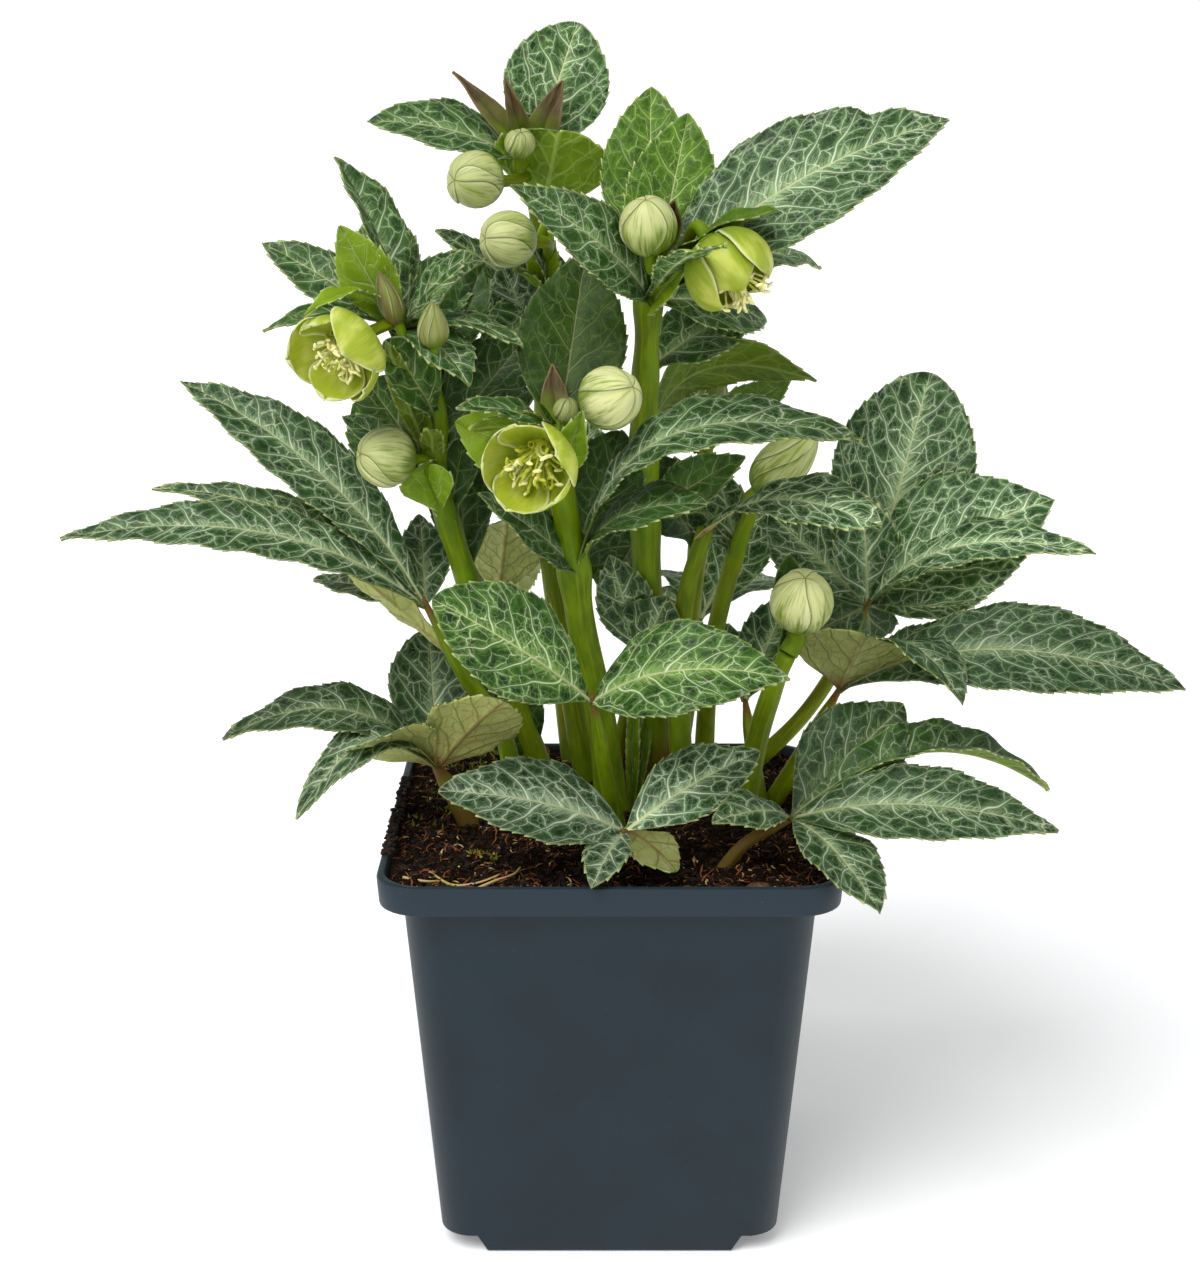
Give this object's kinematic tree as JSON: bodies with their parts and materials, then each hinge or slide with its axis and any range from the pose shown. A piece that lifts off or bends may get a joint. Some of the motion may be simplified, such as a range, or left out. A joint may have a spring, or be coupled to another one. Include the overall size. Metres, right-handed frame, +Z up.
{
  "type": "potted hellebore plant",
  "caption": "Flowering hellebore with net-veined leaves, round buds and open cup-shaped flowers, growing in a square tapered nursery pot filled with soil.",
  "frame": {"origin": "centre of the pot's underside, where it stands on the ground", "axes": "+Z up out of the pot, -Y towards the front of the plant, +X to the right seen from the front"},
  "size_m": [0.3763, 0.2696, 0.4093],
  "materials": {
    "pot_plastic": "dark slate-blue moulded plastic, satin",
    "potting_soil": "dark brown fibrous potting soil",
    "leafy_stem": "mid-green stems and stem leaves, satin",
    "basal_leaf": "dark green leathery leaves with pale net veins",
    "bud_sepal": "cream-green, satin",
    "flower_sepal": "yellow-green, satin",
    "nectary": "yellow-green, satin",
    "stamen": "pale cream-yellow, matte"
  },
  "bodies": {
    "root": {"pot": "pot_plastic", "soil": "potting_soil", "shoot": "leafy_stem", "stem_back": "leafy_stem", "stem_front": "leafy_stem", "stem_hidden": "leafy_stem", "stem_left": "leafy_stem", "stem_low_bud": "leafy_stem", "stem_open_bud": "leafy_stem", "stem_right": "leafy_stem", "leaf_back": "basal_leaf", "leaf_back_left": "basal_leaf", "leaf_back_right": "basal_leaf", "leaf_front_high": "basal_leaf", "leaf_front_low": "basal_leaf", "leaf_inner": "basal_leaf", "leaf_left_high": "basal_leaf", "leaf_left_low": "basal_leaf", "leaf_right_high": "basal_leaf", "leaf_right_inner": "basal_leaf", "leaf_right_low": "basal_leaf", "leaf_right_mid": "basal_leaf", "bud_back_left": "bud_sepal", "bud_back_low": "bud_sepal", "bud_back_small": "bud_sepal", "bud_front": "bud_sepal", "bud_front_small": "bud_sepal", "bud_half_open": "bud_sepal", "bud_hidden": "bud_sepal", "bud_left": "bud_sepal", "bud_left_brown": "bud_sepal", "bud_left_small": "bud_sepal", "bud_low": "bud_sepal", "bud_right": "bud_sepal", "flower_front_nectaries": "nectary", "flower_front_sepals": "flower_sepal", "flower_front_stamens": "stamen", "flower_left_nectaries": "nectary", "flower_left_sepals": "flower_sepal", "flower_left_stamens": "stamen", "flower_right_nectaries": "nectary", "flower_right_sepals": "flower_sepal", "flower_right_stamens": "stamen"}
  },
  "joints": []
}
